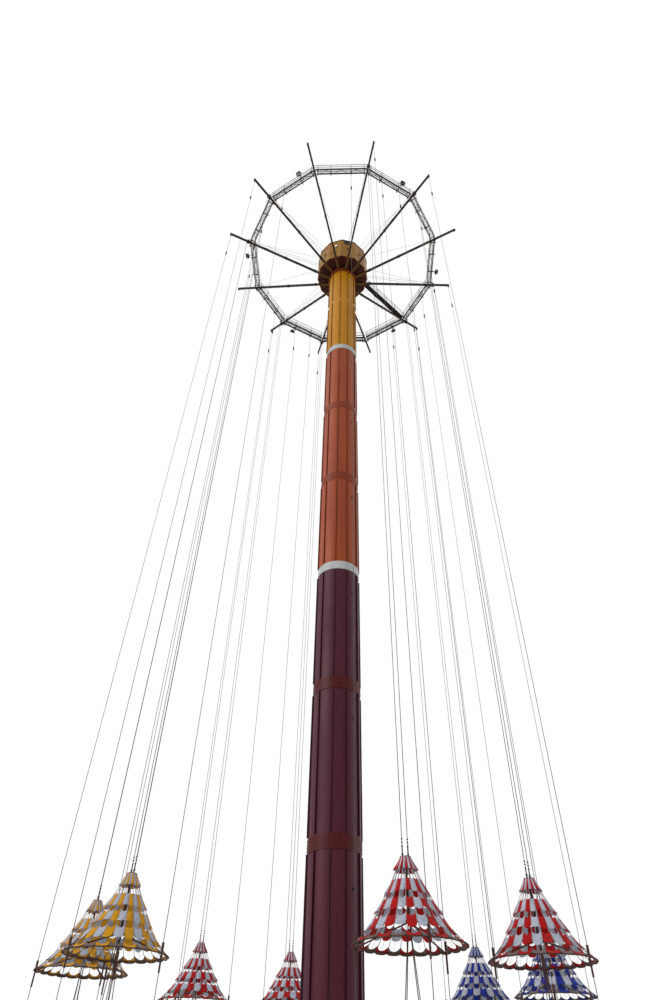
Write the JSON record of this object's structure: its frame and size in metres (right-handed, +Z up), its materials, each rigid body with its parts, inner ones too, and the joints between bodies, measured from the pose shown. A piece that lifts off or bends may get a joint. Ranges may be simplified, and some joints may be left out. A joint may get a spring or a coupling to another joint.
{
  "type": "parachute drop tower ride, 1:2 scale model",
  "caption": "Parachute drop tower: a tall banded column with a head, radial arms and a catwalk ring, and canopies with two-seat gondolas that slide on guide ropes.",
  "frame": {"origin": "on the column's axis, on the underside of the base flange", "axes": "+Z up along the column; the first arm lies 12.5 degrees from -Y towards +X"},
  "size_m": [13.2146, 13.2146, 38.2548],
  "materials": {
    "column_maroon": "satin",
    "column_orange": "satin",
    "column_yellow": "satin",
    "collar_red": "satin",
    "collar_orange": "satin",
    "band_white": "satin",
    "head_yellow": "satin",
    "head_dark": "matte",
    "arm_paint": "satin",
    "catwalk_paint": "matte",
    "grating": "matte",
    "black_steel": "matte",
    "rope_steel": "matte",
    "buffer_rubber": "matte",
    "galvanised": "matte",
    "lamp_black": "matte",
    "gondola_paint": "satin",
    "canopy_red": "matte",
    "canopy_blue": "matte",
    "canopy_yellow": "matte"
  },
  "bodies": {
    "tower": {"base_flange": "galvanised", "column_base": "column_maroon", "column_section_1": "column_maroon", "column_section_2": "column_maroon", "column_section_3": "column_orange", "column_section_4": "column_orange", "column_section_5": "column_orange", "column_section_6": "column_yellow", "column_top_section": "column_yellow", "column_collars": "collar_red", "upper_collars": "collar_orange", "column_bands": "band_white", "hub_ring": "head_dark", "head_floor": "head_dark", "head_cladding": "head_yellow", "head_roof": "head_yellow", "radial_arms": "arm_paint", "ring_beams": "catwalk_paint", "ring_saddles": "catwalk_paint", "ring_deck": "grating", "catwalk_rails": "catwalk_paint", "access_bridge": "catwalk_paint", "sheaves": "black_steel", "sheave_cheeks": "black_steel", "head_stays": "rope_steel", "head_ropes": "rope_steel", "guide_ropes": "rope_steel", "rope_buffers": "buffer_rubber", "ground_anchors": "galvanised", "floodlights": "lamp_black", "hoist_ropes_1": "rope_steel", "hoist_ropes_2": "rope_steel", "hoist_ropes_3": "rope_steel", "hoist_ropes_4": "rope_steel", "hoist_ropes_5": "rope_steel", "hoist_ropes_6": "rope_steel", "hoist_ropes_7": "rope_steel", "hoist_ropes_8": "rope_steel"},
    "chute_1": {"canopy_1": "canopy_red", "gondola_1": "gondola_paint"},
    "chute_2": {"canopy_2": "canopy_red", "gondola_2": "gondola_paint"},
    "chute_3": {"canopy_3": "canopy_blue", "gondola_3": "gondola_paint"},
    "chute_4": {"canopy_4": "canopy_blue", "gondola_4": "gondola_paint"},
    "chute_5": {"canopy_5": "canopy_red", "gondola_5": "gondola_paint"},
    "chute_6": {"canopy_6": "canopy_red", "gondola_6": "gondola_paint"},
    "chute_7": {"canopy_7": "canopy_yellow", "gondola_7": "gondola_paint"},
    "chute_8": {"canopy_8": "canopy_yellow", "gondola_8": "gondola_paint"}
  },
  "joints": [
    {"name": "chute_1_lift", "type": "slide", "parent": "tower", "child": "chute_1", "axis": [0, 0, 1], "range_m": [0, 31.95], "deforming": ["hoist_ropes_1"]},
    {"name": "chute_2_lift", "type": "slide", "parent": "tower", "child": "chute_2", "axis": [0, 0, 1], "range_m": [0, 31.95], "deforming": ["hoist_ropes_2"]},
    {"name": "chute_3_lift", "type": "slide", "parent": "tower", "child": "chute_3", "axis": [0, 0, 1], "range_m": [0, 31.95], "deforming": ["hoist_ropes_3"]},
    {"name": "chute_4_lift", "type": "slide", "parent": "tower", "child": "chute_4", "axis": [0, 0, 1], "range_m": [0, 31.95], "deforming": ["hoist_ropes_4"]},
    {"name": "chute_5_lift", "type": "slide", "parent": "tower", "child": "chute_5", "axis": [0, 0, 1], "range_m": [0, 31.95], "deforming": ["hoist_ropes_5"]},
    {"name": "chute_6_lift", "type": "slide", "parent": "tower", "child": "chute_6", "axis": [0, 0, 1], "range_m": [0, 31.95], "deforming": ["hoist_ropes_6"]},
    {"name": "chute_7_lift", "type": "slide", "parent": "tower", "child": "chute_7", "axis": [0, 0, 1], "range_m": [0, 31.95], "deforming": ["hoist_ropes_7"]},
    {"name": "chute_8_lift", "type": "slide", "parent": "tower", "child": "chute_8", "axis": [0, 0, 1], "range_m": [0, 31.95], "deforming": ["hoist_ropes_8"]}
  ]
}
